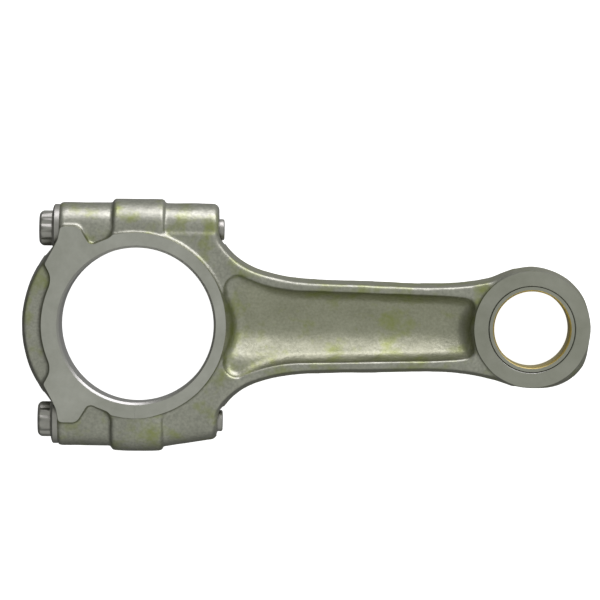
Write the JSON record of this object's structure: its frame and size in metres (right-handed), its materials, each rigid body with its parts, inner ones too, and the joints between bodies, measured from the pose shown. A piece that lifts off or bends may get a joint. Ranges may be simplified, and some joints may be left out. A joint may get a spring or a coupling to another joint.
{
  "type": "connecting rod",
  "caption": "Forged I-section connecting rod with a split big end, cap held by two twelve-point screws, and a bushed small end.",
  "frame": {"origin": "centre of the big-end bore, at mid width, on the joint between rod and cap", "axes": "+X along the shank to the small end, +Z along both bores, +Y across the screw bosses"},
  "size_m": [0.1735, 0.077, 0.02],
  "materials": {
    "forged_steel": "shot-blasted forging with machined faces",
    "screw_steel": "phosphated",
    "bearing_bronze": "bored bronze on a steel back"
  },
  "bodies": {
    "rod": {"forged_rod": "forged_steel", "small_end_bush": "bearing_bronze"},
    "cap": {"big_end_cap": "forged_steel"},
    "upper_screw": {"upper_cap_screw": "screw_steel"},
    "lower_screw": {"lower_cap_screw": "screw_steel"}
  },
  "joints": [
    {"name": "cap_lift", "type": "slide", "parent": "rod", "child": "cap", "axis": [-1, 0, 0], "range_m": [0, 0.035]},
    {"name": "upper_screw_draw", "type": "slide", "parent": "cap", "child": "upper_screw", "axis": [-1, 0, 0], "range_m": [0, 0.055]},
    {"name": "lower_screw_draw", "type": "slide", "parent": "cap", "child": "lower_screw", "axis": [-1, 0, 0], "range_m": [0, 0.055]}
  ]
}
